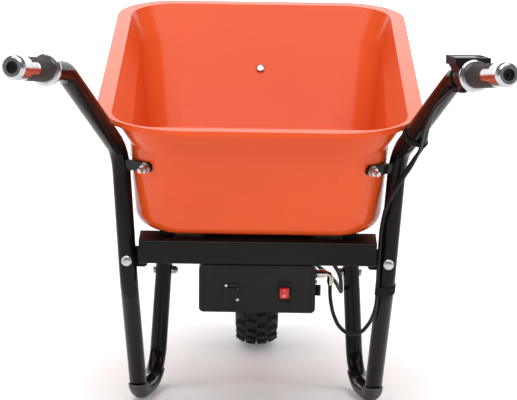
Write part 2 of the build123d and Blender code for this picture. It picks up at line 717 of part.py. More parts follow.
# ---------------------------------------------------------------- nose struts and crossbar
NOSE_PLATE = (60.0, 40.0, 5.0)
nose_seat = front_seat.offset(0.1)
nose_bar_at = nose_seat.offset(NOSE_PLATE[2] + STRUT_OD / 2).origin
nose_half = Vector(DROPOUT_X + 14, 0, 0)
nose_bar_skin = rod(nose_bar_at - nose_half, nose_bar_at + nose_half, STRUT_OD / 2)
with BuildPart() as nose_crossbar:
    add(nose_bar_skin)
    with BuildSketch(nose_seat):
        RectangleRounded(NOSE_PLATE[0], NOSE_PLATE[1], 5)
    extrude(amount=NOSE_PLATE[2] + STRUT_OD / 4)
    add(rod(nose_bar_at - nose_half * 1.1, nose_bar_at + nose_half * 1.1, STRUT_OD / 2 - RAIL_WALL),
        mode=Mode.SUBTRACT)
    add(ring(front_seat, 4 + BOLT_CLEARANCE, 0, -2, 60), mode=Mode.SUBTRACT)
save(nose_crossbar.part, "nose_crossbar")
inside = Plane(
    origin=front_seat.origin - front_seat.z_dir * (TRAY_WALL + 0.1), x_dir=(1, 0, 0), z_dir=-front_seat.z_dir
)
tray_bolts.append(bolt(inside, HEAD_R, HEAD_HEIGHT, 4, TRAY_WALL + NOSE_PLATE[2] + STRUT_OD + 14))
nose_nut = front_seat.offset(NOSE_PLATE[2] + STRUT_OD + 0.3)
tray_nuts.append(hex_nut(nose_nut, NUT_FLATS, NUT_HEIGHT, 4.05))
save_group(tray_bolts, "tray_bolts")
save_group(tray_nuts, "tray_nuts")

struts = []
tray_rails = []
for name, side in SIDES.items():
    foot = rail_point(side, DROPOUT_X, STRUT_REAR_Y)
    head = Vector(side * DROPOUT_X, nose_bar_at.Y, nose_bar_at.Z)
    strut_skin = rod(foot, head, STRUT_OD / 2)
    with BuildPart() as strut:
        add(strut_skin)
        add(rod(foot, head, STRUT_OD / 2 - RAIL_WALL), mode=Mode.SUBTRACT)
        add(rail_skins[name], mode=Mode.SUBTRACT)
        add(nose_bar_skin, mode=Mode.SUBTRACT)
    struts.append(strut.part.solids().sort_by(SortBy.VOLUME)[-1])

    # Upper rail that the tray's floor lies along, from the beam to the strut
    with BuildPart() as tray_rail:
        rail_w = TRAY_FLOOR_W - GAP - TRAY_RAIL_SIZE / 2
        with BuildSketch(rear_plane(side * DROPOUT_X, BEAM_DEPTH / 2, rail_w)):
            RectangleRounded(TRAY_RAIL_SIZE, TRAY_RAIL_SIZE, 2)
            RectangleRounded(TRAY_RAIL_SIZE - 4, TRAY_RAIL_SIZE - 4, 1, mode=Mode.SUBTRACT)
        extrude(amount=-FRONT_BOLT[0])
        add(strut_skin, mode=Mode.SUBTRACT)
    tray_rails.append(tray_rail.part.solids().sort_by(SortBy.VOLUME)[-1])
save_group(struts, "nose_struts")
save_group(tray_rails, "tray_rails")

# ---------------------------------------------------------------- frame bolts and nuts
frame_bolts = []
frame_nuts = []
for name, side in SIDES.items():
    rear_bolt = Plane(origin=at(side * BOLT_X, -LEG_R - 0.1, BOLT_Z), x_dir=(1, 0, 0), z_dir=(0, -1, 0))
    frame_bolts.append(bolt(rear_bolt, HEAD_R, HEAD_HEIGHT, 4, LEG_OD + EAR_THICKNESS + 14))
    ear_front = Plane(
        origin=at(side * BOLT_X, LEG_R + 2 * GAP + EAR_THICKNESS, BOLT_Z), x_dir=(1, 0, 0), z_dir=(0, 1, 0)
    )
    frame_nuts.append(hex_nut(ear_front, NUT_FLATS, NUT_HEIGHT, 4.05))
    half = Vector(side * (SOCKET_OD / 2 + 0.6), 0, 0)
    outboard = Plane(origin=cross_bolts[name] + half, x_dir=(0, 1, 0), z_dir=(side, 0, 0))
    frame_bolts.append(bolt(outboard, 6.8, 4.4, 4, SOCKET_OD + 12))
    inboard = Plane(origin=cross_bolts[name] - half, x_dir=(0, 1, 0), z_dir=(-side, 0, 0))
    frame_nuts.append(ring(inboard, WASHER_R, 4.05, 0, WASHER_THICKNESS))
    frame_nuts.append(hex_nut(inboard.offset(WASHER_THICKNESS + 0.1), NUT_FLATS, NUT_HEIGHT, 4.05))
save_group(frame_bolts, "frame_bolts")
save_group(frame_nuts, "frame_nuts")

# ---------------------------------------------------------------- battery box
box_centre_w = (BOX_TOP_W + BOX_BOTTOM_W) / 2
SOCKET_U, SOCKET_W = 41.5, -60.0
GLAND_U, GLAND_W = 143.6, -72.9
SOCKET_R = 5.4
socket_plane = side_plane(BOX_WIDTH / 2, SOCKET_U, SOCKET_W)
gland = side_plane(BOX_WIDTH / 2, GLAND_U, GLAND_W)
inner_width = BOX_WIDTH - 2 * BOX_EDGE
inner_height = BOX_HEIGHT - BOX_EDGE - 3
window_w = box_centre_w + (BOX_EDGE - 3) / 2
with BuildPart() as box_shell:
    with BuildSketch(rear_plane(0, REAR_U, box_centre_w)):
        RectangleRounded(BOX_WIDTH, BOX_HEIGHT - 0.2, BOX_CORNER)
    extrude(amount=-BOX_LENGTH)
    with BuildSketch(rear_plane(0, REAR_U + COVER_THICKNESS, box_centre_w)):
        RectangleRounded(BOX_WIDTH - 2 * BOX_WALL, BOX_HEIGHT - 2 * BOX_WALL, BOX_CORNER - BOX_WALL)
    extrude(amount=-(BOX_LENGTH - COVER_THICKNESS - BOX_WALL), mode=Mode.SUBTRACT)
    with BuildSketch(rear_plane(0, REAR_U - 1, window_w)):
        RectangleRounded(inner_width, inner_height, 2)
    extrude(amount=-(COVER_THICKNESS + 2), mode=Mode.SUBTRACT)
    add(ring(socket_plane, SOCKET_R + FIT, 0, -5, 5), mode=Mode.SUBTRACT)
    # Gland for the motor's cable
    add(ring(gland, MOTOR_CABLE_R + 4.4, 0, -1, 9))
    add(ring(gland, MOTOR_CABLE_R + FIT, 0, -9, 12), mode=Mode.SUBTRACT)
save(box_shell.part, "box_shell")

port_window = (16.0, 18.0)
switch_window = (SWITCH_PLATE[0] - 4, SWITCH_PLATE[1] - 6)
port_plane = rear_plane(PORT_AT[0], REAR_U, PORT_AT[1])
switch_plane = rear_plane(SWITCH_AT[0], REAR_U, SWITCH_AT[1])
port_screw_at = (PORT_PLATE[0] / 2 - 3.2, PORT_PLATE[1] / 2 - 3.4)
with BuildPart() as box_cover:
    with BuildSketch(rear_plane(0, REAR_U, window_w)):
        RectangleRounded(inner_width - 2 * GAP, inner_height - 2 * GAP, 1.8)
    extrude(amount=-COVER_THICKNESS)
    with BuildSketch(port_plane.offset(1)):
        Rectangle(*port_window)
        with Locations((-port_screw_at[0], port_screw_at[1]), (port_screw_at[0], -port_screw_at[1])):
            Circle(1.3)
    extrude(amount=-8, mode=Mode.SUBTRACT)
    with BuildSketch(switch_plane.offset(1)):
        Rectangle(*switch_window)
    extrude(amount=-8, mode=Mode.SUBTRACT)
save(box_cover.part, "box_cover")

# Battery pack and controller on the box's floor
floor_w = BOX_BOTTOM_W + BOX_WALL + 0.2
with BuildPart() as battery_pack:
    with BuildSketch(deck.offset(floor_w)):
        with Locations((-8, 193)):
            RectangleRounded(150, 140, 6)
    extrude(amount=68)
    fillet(battery_pack.faces().sort_by(Axis.Z)[-1].edges(), 3)
save(battery_pack.part, "battery_pack")
with BuildPart() as motor_controller:
    with BuildSketch(deck.offset(floor_w)):
        with Locations((0, 72)):
            RectangleRounded(120, 70, 4)
    extrude(amount=36)
    # Cooling ribs
    with BuildSketch(deck.offset(floor_w + 36)):
        with Locations((0, 72)):
            with GridLocations(12, 0, 10, 1):
                Rectangle(3, 66)
    extrude(amount=6)
save(motor_controller.part, "motor_controller")

# ---------------------------------------------------------------- charge port, flap and screws
FLAP = (18.4, 16.2, 1.9)
PORT_FLANGE = 1.6
HINGE_OUT = 3.9
HINGE_Y = 7.0
HINGE_R = 1.9
PIN_R = 0.9
hinge_at = port_plane.from_local_coords(Vector(0, HINGE_Y, HINGE_OUT))
hinge = Plane(origin=hinge_at, x_dir=deck.y_dir, z_dir=(1, 0, 0))
ear_inner = FLAP[0] / 2 + GAP
with BuildPart() as charge_port:
    with BuildSketch(port_plane):
        RectangleRounded(*PORT_PLATE, 3)
        with Locations((-port_screw_at[0], port_screw_at[1]), (port_screw_at[0], -port_screw_at[1])):
            Circle(1.3, mode=Mode.SUBTRACT)
    extrude(amount=PORT_FLANGE)
    with BuildSketch(port_plane):
        Rectangle(port_window[0] - 2 * GAP, port_window[1] - 2 * GAP)
    extrude(amount=-16)
    # Socket well with its centre pin
    with BuildSketch(port_plane.offset(3)):
        with Locations((0, -1)):
            Circle(6.2)
            Circle(1.6, mode=Mode.SUBTRACT)
    extrude(amount=-15, mode=Mode.SUBTRACT)
    for end in (-1, 1):
        with BuildSketch(Plane(origin=hinge_at + Vector(end * ear_inner, 0, 0), x_dir=deck.y_dir,
                               z_dir=(end, 0, 0))):
            Circle(HINGE_R)
            with Locations((HINGE_OUT / 2, 0)):
                Rectangle(HINGE_OUT, 2 * HINGE_R)
        extrude(amount=1.6)
        add(ring(Plane(origin=hinge_at + Vector(end * (ear_inner - 1), 0, 0), z_dir=(end, 0, 0)),
                 PIN_R + FIT, 0, 0, 5), mode=Mode.SUBTRACT)
save(charge_port.part, "charge_port")

with BuildPart() as charge_flap:
    add(ring(hinge, HINGE_R, 0, -FLAP[0] / 2, FLAP[0] / 2))
    with BuildSketch(port_plane.offset(PORT_FLANGE + 0.4)):
        with Locations((0, HINGE_Y - FLAP[1] / 2)):
            RectangleRounded(FLAP[0], FLAP[1], 1.5)
    extrude(amount=FLAP[2])
    add(ring(hinge, PIN_R + FIT, 0, -FLAP[0], FLAP[0]), mode=Mode.SUBTRACT)
save(charge_flap.part, "charge_flap")
save(ring(hinge, PIN_R, 0, -ear_inner - 1.5, ear_inner + 1.5), "flap_pin")
port_screws = []
for end in (-1, 1):
    screw_seat = port_plane.from_local_coords(
        Vector(-end * port_screw_at[0], end * port_screw_at[1], PORT_FLANGE + 0.1)
    )
    port_screws.append(bolt(Plane(origin=screw_seat, z_dir=port_plane.z_dir), 2.4, 1.4, 1.2, 8))
save_group(port_screws, "port_screws")

# ---------------------------------------------------------------- rocker switch
PIVOT_IN = -1.5
ROCKER_RISE = 4.0
BOOT_HEIGHT = 8.5
boot_size = (ROCKER_SIZE[0] + 4.4, ROCKER_SIZE[1] + 8.0)
with BuildPart() as switch_body:
    with BuildSketch(switch_plane):
        RectangleRounded(*SWITCH_PLATE, 2.5)
    extrude(amount=2.2)
    with BuildSketch(switch_plane):
        Rectangle(switch_window[0] - 2 * GAP, switch_window[1] - 2 * GAP)
    extrude(amount=-20)
    with BuildSketch(switch_plane.offset(3)):
        Rectangle(ROCKER_SIZE[0] + 2 * GAP, ROCKER_SIZE[1] + 2.0)
    extrude(amount=-15, mode=Mode.SUBTRACT)
    pivot = Plane(origin=switch_plane.offset(PIVOT_IN).origin, x_dir=deck.y_dir, z_dir=(1, 0, 0))
    add(ring(pivot, 1.5, 0, -ROCKER_SIZE[0] / 2 - 1, ROCKER_SIZE[0] / 2 + 1))
save(switch_body.part, "switch_body")

# Rocker: a shallow V about its pivot, left tipped so that its upper half stands out
rocker_side = Plane(origin=pivot.origin, x_dir=-deck.y_dir, z_dir=(-1, 0, 0))
with BuildPart() as switch_rocker:
    with BuildSketch(rocker_side):
        with BuildLine():
            Polyline((3.0, 0), (4.2, 9.6), (-0.5, 9.4), (-4.5, 0), (-0.5, -9.4), (4.2, -9.6), close=True)
        make_face()
    extrude(amount=ROCKER_SIZE[0] / 2, both=True)
    add(ring(pivot, 1.5 + FIT, 0, -ROCKER_SIZE[0], ROCKER_SIZE[0]), mode=Mode.SUBTRACT)
save(switch_rocker.part.rotate(Axis(pivot.origin, (1, 0, 0)), SWITCH_TILT), "switch_rocker")

with BuildPart() as switch_boot:
    with BuildSketch(switch_plane.offset(2.3)):
        RectangleRounded(*boot_size, 4)
    extrude(amount=BOOT_HEIGHT - 2.3)
    fillet(switch_boot.faces().sort_by(Axis(switch_plane.origin, switch_plane.z_dir))[-1].edges(), 2)
    with BuildSketch(switch_plane.offset(2)):
        RectangleRounded(boot_size[0] - 1.6, boot_size[1] - 1.6, 3.2)
    extrude(amount=BOOT_HEIGHT - 2.8, mode=Mode.SUBTRACT)
save(switch_boot.part, "switch_boot")

# ---------------------------------------------------------------- side socket, plug and dust cap
PLUG_TURN = 26.0            # from the box's side to the plug's upright leg
PLUG_DROP = 15.0
save(
    turned(
        socket_plane, (3, -10), (SOCKET_R, -10), (SOCKET_R, 0.1), (8, 0.1), (8, 2.4), (SOCKET_R, 2.4),
        (SOCKET_R, 9.5), (3, 9.5),
    ),
    "side_socket",
)
plug_turn = socket_plane.origin + Vector(PLUG_TURN, 0, 0)
plug_end = plug_turn - Vector(0, 0, PLUG_DROP)
down = Plane(origin=plug_end, z_dir=(0, 0, -1))
with BuildPart() as elbow_plug:
    add(ring(socket_plane, 6.8, 0, 5, 17.5))
    add(ring(socket_plane, SOCKET_R + FIT, 0, 4, 9.6), mode=Mode.SUBTRACT)
    add(bent_rod((socket_plane.origin + Vector(12, 0, 0), plug_turn, plug_end), 6.5, 4.9))
    add(ring(down, 5.5, 0, -6, 0))
    add(ring(down, 4.3, 0, 0, 4))
    add(ring(down, CABLE_R + FIT, 0, -6, 5), mode=Mode.SUBTRACT)
save(elbow_plug.part, "elbow_plug")

CAP_R = 4.5
cap_at = socket_plane.origin + Vector(6.2, 0, 0)
with BuildPart() as dust_cap:
    add(ring(socket_plane, 7.6, SOCKET_R + 0.1, 2.6, 4.4))
    with BuildSketch(Plane(origin=socket_plane.origin + Vector(2.6, 0, -14), z_dir=(1, 0, 0))):
        Rectangle(4, 15.5)
    extrude(amount=1.8)
    add(rod(cap_at - Vector(0, 0, 19), cap_at - Vector(0, 0, 36.5), CAP_R))
save(dust_cap.part, "dust_cap")

# ---------------------------------------------------------------- cables
def fit_radii(points):
    """Arc radii for a held cable: each arc takes up 0.45 of the shorter run beside it."""
    radii = []
    for before, here, after in zip(points, points[1:], points[2:]):
        turn = radians((here - before).get_angle(after - here))
        shorter = min((here - before).length, (after - here).length)
        radii.append(0.45 * shorter / tan(turn / 2))
    return radii


def cable(points, radius, name):
    """A cable along the given route, with its bend radii printed."""
    radii = fit_radii(points)
    print(name, "bend radii", [round(value) for value in radii])
    return bent_rod(points, radii, radius)


throttle_route = [plug_end + Vector(0, 0, 5), plug_end - Vector(0, 0, 24)]
throttle_route += [
    at(*point)
    for point in (
        (126, 56, 183), (136, 57, 161), (153, 57, 147.5), (173, 52, 151.5), (187, 37, 172),
        (194.2, 14, 200), (195, -6, 228), (194.9, -13.5, 262), (196.5, -14.5, 300),
        (198.5, -12.5, 336), (204.5, -13.5, 368), (215.5, -19, 394), (230, -22, 421), (246, -36, 449),
        (257, -66, 471), (258, -106, 487.5), (256, -147, 505.5), (257.5, -186, 526.5), (263, -222, 547.5),
    )
]
throttle_route += [cable_seat.offset(z).origin for z in (-HOUSING_LENGTH - 30, -HOUSING_LENGTH + 9)]
throttle_cable = cable(throttle_route, CABLE_R, "throttle_cable")
save(throttle_cable, "throttle_cable")

# The motor's cable leaves a gland in the box's side and ends in the bored end of the axle
motor_route = [gland.offset(-5).origin, gland.offset(27.5).origin]
motor_route += [
    at(*point)
    for point in (
        (143, 180, 230), (147, 220, 198), (149, 268, 184), (148, 322, 182), (143, 378, 187),
        (129, 434, 194), (116, 492, 196), (113, 548, 193), (122, 600, 190.5), (140, 645, 189.5),
        (144, 691, 190.5), (143, AXLE_Y, AXLE_Z), (AXLE_HALF - 9, AXLE_Y, AXLE_Z),
    )
]
motor_cable = cable(motor_route, MOTOR_CABLE_R, "motor_cable")
save(motor_cable, "motor_cable")

# Hook-and-loop straps round tube and cable, and a narrow tie near the handle's bend
STRAP_WIDTH = 14.0
STRAP_THICKNESS = 1.8
TIE_WIDTH = 4.5
TIE_THICKNESS = 1.4
right_top = at(*LEG_TOP)
right_corner = right_grip.origin - right_grip.z_dir * HANDLE_REACH
right_slope = (right_corner - right_top).normalized()
knee_rise = (right_top - at(*LEG_KNEE)).normalized() - (at(*FOOT_REAR, FOOT_Z) - at(*LEG_KNEE)).normalized()
# (centre on the tube, direction of the tube, tube radius, a point on the cable, width, thickness)
bands = (
    (at(208.6, 6.8, 236), knee_rise, LEG_R, at(196, -6.2, 236), STRAP_WIDTH, STRAP_THICKNESS),
    (right_top + right_slope * 90, right_slope, HANDLE_R, at(257.4, -82.7, 478.1), STRAP_WIDTH,
     STRAP_THICKNESS),
    (right_grip.offset(-48).origin, right_grip.z_dir, HANDLE_R, cable_seat.offset(-48).origin, TIE_WIDTH,
     TIE_THICKNESS),
)
right_leg_skin = bent_rod(*leg_routes["right"], LEG_R + 0.05)
right_handle_skin = bent_rod(
    (right_top + right_slope * HANDLE_START, right_corner, right_grip.offset(-HOUSING_LENGTH).origin),
    HANDLE_BEND, HANDLE_R + 0.05,
)
cable_skin = bent_rod(throttle_route, fit_radii(throttle_route), CABLE_R + 0.05)
straps = []
for centre, direction, tube_r, spot, width, thickness in bands:
    band = Plane(origin=centre, z_dir=direction)
    beside = band.to_local_coords(spot)
    with BuildPart() as strap:
        with BuildSketch(band.offset(-width / 2)):
            Circle(tube_r + thickness)
            with Locations((beside.X, beside.Y)):
                Circle(CABLE_R + thickness)
            make_hull()
        extrude(amount=width)
        for skin in (right_leg_skin, right_handle_skin, cable_skin):
            add(skin, mode=Mode.SUBTRACT)
    straps.append(strap.part.solids().sort_by(SortBy.VOLUME)[-1])
save_group(straps, "cable_straps")

# ---------------------------------------------------------------- wheel and hub motor
wheel = Plane(origin=at(0, AXLE_Y, AXLE_Z), x_dir=(0, 1, 0), z_dir=(1, 0, 0))
with BuildPart() as tyre:
    with BuildSketch(Plane(wheel.origin, x_dir=wheel.x_dir, z_dir=-wheel.y_dir)):
        with BuildLine():
            Polyline((BEAD_R, -23), (BEAD_R, -30), (BEAD_R + 9, -31.5))
            ThreePointArc((BEAD_R + 9, -31.5), (BEAD_R + 42, -TYRE_HALF), (172, -38))
            ThreePointArc((172, -38), (TYRE_RADIUS, 0), (172, 38))
            ThreePointArc((172, 38), (BEAD_R + 42, TYRE_HALF), (BEAD_R + 9, 31.5))
            Polyline((BEAD_R + 9, 31.5), (BEAD_R, 30), (BEAD_R, 23))
            ThreePointArc((BEAD_R, 23), (BEAD_R + 39, 36), (167, 31))
            ThreePointArc((167, 31), (TYRE_RADIUS - 9, 0), (167, -31))
            ThreePointArc((167, -31), (BEAD_R + 39, -36), (BEAD_R, -23))
        make_face()
    revolve(axis=Axis(wheel.origin, wheel.z_dir))
save(tyre.part, "tyre")

HUB_SCREWS = 6
HUB_SCREW_R = 88.0
HUB_SCREW_X = 41.8
VALVE_AT = (0.0, 98.0)
VALVE_R = 4.0
hub_screws = []
for side in SIDES.values():
    cover_face = Plane(origin=wheel.origin, x_dir=(0, 1, 0), z_dir=(side, 0, 0))
    for index in range(HUB_SCREWS):
        angle = radians(360 / HUB_SCREWS * (index + 0.5) + 90)
        screw_seat = cover_face.from_local_coords(
            Vector(HUB_SCREW_R * cos(angle), HUB_SCREW_R * sin(angle), HUB_SCREW_X)
        )
        hub_screws.append(bolt(Plane(origin=screw_seat, x_dir=(0, 1, 0), z_dir=(side, 0, 0)), 3, 2, 2, 14))
screw_holes = []
for screw in hub_screws:
    centre = screw.bounding_box().center()
    screw_holes.append(rod(centre - Vector(12, 0, 0), centre + Vector(12, 0, 0), 2 + FIT))
valve = Plane(origin=wheel.from_local_coords(Vector(*VALVE_AT, 0)), x_dir=(0, 1, 0), z_dir=(1, 0, 0))
with BuildPart() as wheel_rim:
    add(
        turned(
            wheel, (84, -36), (112, -36), (112, -33), (BEAD_R - 0.5, -31), (BEAD_R - 0.5, -24), (92, -18),
            (92, 18), (BEAD_R - 0.5, 24), (BEAD_R - 0.5, 31), (112, 33), (112, 36), (84, 36),
        )
    )
    add(ring(valve, VALVE_R + 0.1, 0, 10, 50), mode=Mode.SUBTRACT)
    for hole in screw_holes:
        add(hole, mode=Mode.SUBTRACT)
save(wheel_rim.part, "wheel_rim")

covers = []
bearings = []
for side in SIDES.values():
    face = Plane(origin=wheel.origin, x_dir=(0, 1, 0), z_dir=(side, 0, 0))
    with BuildPart() as hub_cover:
        add(
            turned(
                face, (COVER_R, 36.2), (COVER_R, 40.5), (60, 46), (26, 52), (12.5, 52), (12.5, 48.2),
                (BEARING_R + FIT, 48.2), (BEARING_R + FIT, 38), (22, 38), (24, 36.2),
            )
        )
        for hole in screw_holes:
            add(hole, mode=Mode.SUBTRACT)
    covers.append(hub_cover.part.solids()[0])
    bearings.append(ring(face, BEARING_R, AXLE_R + FIT, 38.2, 48))
save_group(covers, "hub_covers")
save_group(bearings, "hub_bearings")
save_group(hub_screws, "hub_screws")
save(ring(wheel, MAGNET_R[1] - 0.1, MAGNET_R[0], -STATOR_HALF, STATOR_HALF), "magnet_ring")
save(ring(wheel, STATOR_R, AXLE_BOSS_R + FIT, -STATOR_HALF, STATOR_HALF), "stator")
save(turned(valve, (0, 15), (VALVE_R, 15), (VALVE_R, 46), (3.2, 46), (3.2, 54), (2.2, 55), (0, 55)), "valve_stem")

# Fixed axle: boss for the stator, bearing seats, shoulders against the dropouts, threaded ends
shoulder_end = DROPOUT_X - DROPOUT_THICKNESS / 2
half_axle = (
    (AXLE_BOSS_R, STATOR_HALF - 2), (AXLE_R, STATOR_HALF - 2), (AXLE_R, 48.3), (AXLE_SHOULDER_R, 48.3),
    (AXLE_SHOULDER_R, shoulder_end), (AXLE_THREAD_R, shoulder_end), (AXLE_THREAD_R, AXLE_HALF),
)
with BuildPart() as axle:
    add(turned(wheel, (0, -AXLE_HALF), *((r, -x) for r, x in reversed(half_axle)), *half_axle, (0, AXLE_HALF)))
    add(ring(wheel, MOTOR_CABLE_R + FIT, 0, AXLE_HALF - 10, AXLE_HALF + 1), mode=Mode.SUBTRACT)
save(axle.part, "axle")
axle_nuts = []
for side in SIDES.values():
    outer_face = Plane(
        origin=wheel.origin + Vector(side * (shoulder_end + DROPOUT_THICKNESS + 0.1), 0, 0), x_dir=(0, 1, 0),
        z_dir=(side, 0, 0),
    )
    axle_nuts.append(ring(outer_face, 12, AXLE_THREAD_R + FIT, 0, 2))
    axle_nuts.append(hex_nut(outer_face.offset(2.1), 19, 10, AXLE_THREAD_R + FIT))
save_group(axle_nuts, "axle_nuts")
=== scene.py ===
from math import cos, pi, radians, sin, tau

import bmesh
import bpy
from mathutils import Matrix, Vector


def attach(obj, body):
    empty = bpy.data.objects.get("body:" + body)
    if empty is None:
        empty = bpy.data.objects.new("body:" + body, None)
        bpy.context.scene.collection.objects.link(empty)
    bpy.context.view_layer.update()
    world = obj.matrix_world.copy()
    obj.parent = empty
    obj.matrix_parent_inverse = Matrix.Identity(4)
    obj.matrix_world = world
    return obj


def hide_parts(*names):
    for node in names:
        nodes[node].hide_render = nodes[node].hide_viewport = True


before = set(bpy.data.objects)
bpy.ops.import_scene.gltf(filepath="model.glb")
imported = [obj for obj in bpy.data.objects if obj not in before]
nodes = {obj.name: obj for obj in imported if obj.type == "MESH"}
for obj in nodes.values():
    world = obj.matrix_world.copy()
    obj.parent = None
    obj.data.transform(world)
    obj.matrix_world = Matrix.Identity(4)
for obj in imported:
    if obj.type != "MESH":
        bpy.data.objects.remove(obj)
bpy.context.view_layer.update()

scene = bpy.context.scene

# ---- Camera, studio and floor
# The operator's view from behind and a little above, in a white studio: soft lights on each side
# and in front, a broad one overhead, and a pale floor and backdrop.
LEG_Y = -0.238  # the rear leg tubes, which the camera is set out from
CAMERA_BACK = 2.890
CAMERA_HEIGHT = 0.701
CAMERA_PITCH = radians(6.4)
CAMERA_ROLL = radians(0.85)

camera_data = bpy.data.cameras.new("camera")
camera_data.sensor_width = 36.0
camera_data.lens = 125.3
camera_data.clip_end = 60
camera = bpy.data.objects.new("camera", camera_data)
scene.collection.objects.link(camera)
camera.matrix_world = (
    Matrix.Translation((0, LEG_Y - CAMERA_BACK, CAMERA_HEIGHT))
    @ Matrix.Rotation(pi / 2 - CAMERA_PITCH, 4, "X")
    @ Matrix.Rotation(CAMERA_ROLL, 4, "Z")
)
scene.camera = camera
scene.view_settings.view_transform = "Standard"


def softbox(name, place, aim, size, power):
    """A square area light at a place, turned to an aim."""
    light = bpy.data.lights.new(name, "AREA")
    light.size = size
    light.energy = power
    lamp = bpy.data.objects.new(name, light)
    scene.collection.objects.link(lamp)
    lamp.location = place
    lamp.rotation_mode = "QUATERNION"
    lamp.rotation_quaternion = (Vector(aim) - Vector(place)).to_track_quat("-Z", "Y")


softbox("light_left", (-2.4, -0.9, 1.3), (0, 0, 0.35), 1.3, 11)
softbox("light_right", (2.4, -0.9, 1.3), (0, 0, 0.35), 1.3, 11)
softbox("light_front", (0, -2.3, 3.1), (0, 0.2, 0.5), 2.0, 40)
sky_light = bpy.data.lights.new("light_over", "SUN")
sky_light.energy = 2.3
sky_light.angle = radians(75)
sky = bpy.data.objects.new("light_over", sky_light)
sky.rotation_euler = (radians(14), 0, 0)
scene.collection.objects.link(sky)

world = bpy.data.worlds.new("studio")
world.use_nodes = True
world.node_tree.nodes["Background"].inputs["Color"].default_value = (1, 1, 1, 1)
world.node_tree.nodes["Background"].inputs["Strength"].default_value = 0.16
scene.world = world


def studio_sheet(name, size, turn, place, glow):
    """A pale sheet of the studio, matt and faintly lit from within."""
    mesh = bmesh.new()
    bmesh.ops.create_grid(mesh, x_segments=1, y_segments=1, size=size)
    bmesh.ops.transform(
        mesh, matrix=Matrix.Translation(place) @ Matrix.Rotation(turn, 4, "X"), verts=mesh.verts
    )
    data = bpy.data.meshes.new(name)
    mesh.to_mesh(data)
    mesh.free()
    paint = bpy.data.materials.new(name)
    paint.use_nodes = True
    shader = paint.node_tree.nodes["Principled BSDF"]
    shader.inputs["Base Color"].default_value = (0.95, 0.95, 0.95, 1)
    shader.inputs["Roughness"].default_value = 0.8
    shader.inputs["Specular IOR Level"].default_value = 0.1
    shader.inputs["Emission Color"].default_value = (1, 1, 1, 1)
    shader.inputs["Emission Strength"].default_value = glow
    data.materials.append(paint)
    sheet = bpy.data.objects.new(name, data)
    scene.collection.objects.link(sheet)
    return sheet


STUDIO_REACH = 12
FLOOR_GLOW = 0.14
BACKDROP_Y = 11.5
BACKDROP_GLOW = 0.95
studio_sheet("floor", STUDIO_REACH, 0, (0, 0, 0), FLOOR_GLOW)
studio_sheet("backdrop", STUDIO_REACH, pi / 2, (0, BACKDROP_Y, 0), BACKDROP_GLOW)

# ---- Tray
# One deep-drawn steel pressing with a flat rim and a turned-down lip, powder coated in gloss
# orange. It is bolted to two corner brackets and to the nose crossbar.


def finish(name, dark, light, patch, rough, metal=0.0, grain=900.0, bump=0.0, shine=0.5, wear=None):
    """A material whose shade drifts between two colours in patches, with grain in its gloss and relief.

    patch and grain are in waves to the metre; rough is (low, high)."""
    paint = bpy.data.materials.new(name)
    paint.use_nodes = True
    tree = paint.node_tree
    shader = tree.nodes["Principled BSDF"]
    place = tree.nodes.new("ShaderNodeTexCoord").outputs["Object"]
    cloud = tree.nodes.new("ShaderNodeTexNoise")
    cloud.inputs["Scale"].default_value = patch
    cloud.inputs["Detail"].default_value = 3
    tree.links.new(place, cloud.inputs["Vector"])
    ramp = tree.nodes.new("ShaderNodeValToRGB")
    ramp.color_ramp.elements[0].position = 0.35
    ramp.color_ramp.elements[0].color = (*dark, 1)
    ramp.color_ramp.elements[1].position = 0.65
    ramp.color_ramp.elements[1].color = (*light, 1)
    tree.links.new(cloud.outputs["Fac"], ramp.inputs["Fac"])
    tree.links.new(ramp.outputs["Color"], shader.inputs["Base Color"])
    speck = tree.nodes.new("ShaderNodeTexNoise")
    speck.inputs["Scale"].default_value = grain
    speck.inputs["Detail"].default_value = 4
    tree.links.new(place, speck.inputs["Vector"])
    gloss = tree.nodes.new("ShaderNodeMapRange")
    gloss.inputs["To Min"].default_value = rough[0]
    gloss.inputs["To Max"].default_value = rough[1]
    tree.links.new(speck.outputs["Fac"], gloss.inputs["Value"])
    tree.links.new(gloss.outputs["Result"], shader.inputs["Roughness"])
    relief = tree.nodes.new("ShaderNodeBump")
    relief.inputs["Strength"].default_value = bump
    relief.inputs["Distance"].default_value = 0.0006
    tree.links.new(speck.outputs["Fac"], relief.inputs["Height"])
    tree.links.new(relief.outputs["Normal"], shader.inputs["Normal"])
    shader.inputs["Metallic"].default_value = metal
    shader.inputs["Specular IOR Level"].default_value = shine
    if wear:
        edge = tree.nodes.new("ShaderNodeNewGeometry").outputs["Pointiness"]
        rub = tree.nodes.new("ShaderNodeMapRange")
        rub.inputs["From Min"].default_value = 0.56
        rub.inputs["From Max"].default_value = 0.66
        tree.links.new(edge, rub.inputs["Value"])
        mix = tree.nodes.new("ShaderNodeMix")
        mix.data_type = "RGBA"
        mix.inputs["B"].default_value = (*wear, 1)
        tree.links.new(rub.outputs["Result"], mix.inputs["Factor"])
        tree.links.new(ramp.outputs["Color"], mix.inputs["A"])
        tree.links.new(mix.outputs["Result"], shader.inputs["Base Color"])
    return paint


def dress(paint, *names):
    """Gives CAD nodes a material."""
    for name in names:
        mesh = nodes[name].data
        mesh.materials.clear()
        mesh.materials.append(paint)


def piece(name, mesh, paint, body, hides=()):
    """A new piece from a bmesh: it rides a body, takes a material, and may hide CAD nodes."""
    bmesh.ops.recalc_face_normals(mesh, faces=mesh.faces)
    data = bpy.data.meshes.new(name)
    mesh.to_mesh(data)
    mesh.free()
    data.shade_smooth()
    data.set_sharp_from_angle(angle=radians(38))
    data.materials.append(paint)
    made = bpy.data.objects.new(name, data)
    scene.collection.objects.link(made)
    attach(made, body)
    if hides:
        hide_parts(*hides)
    return made


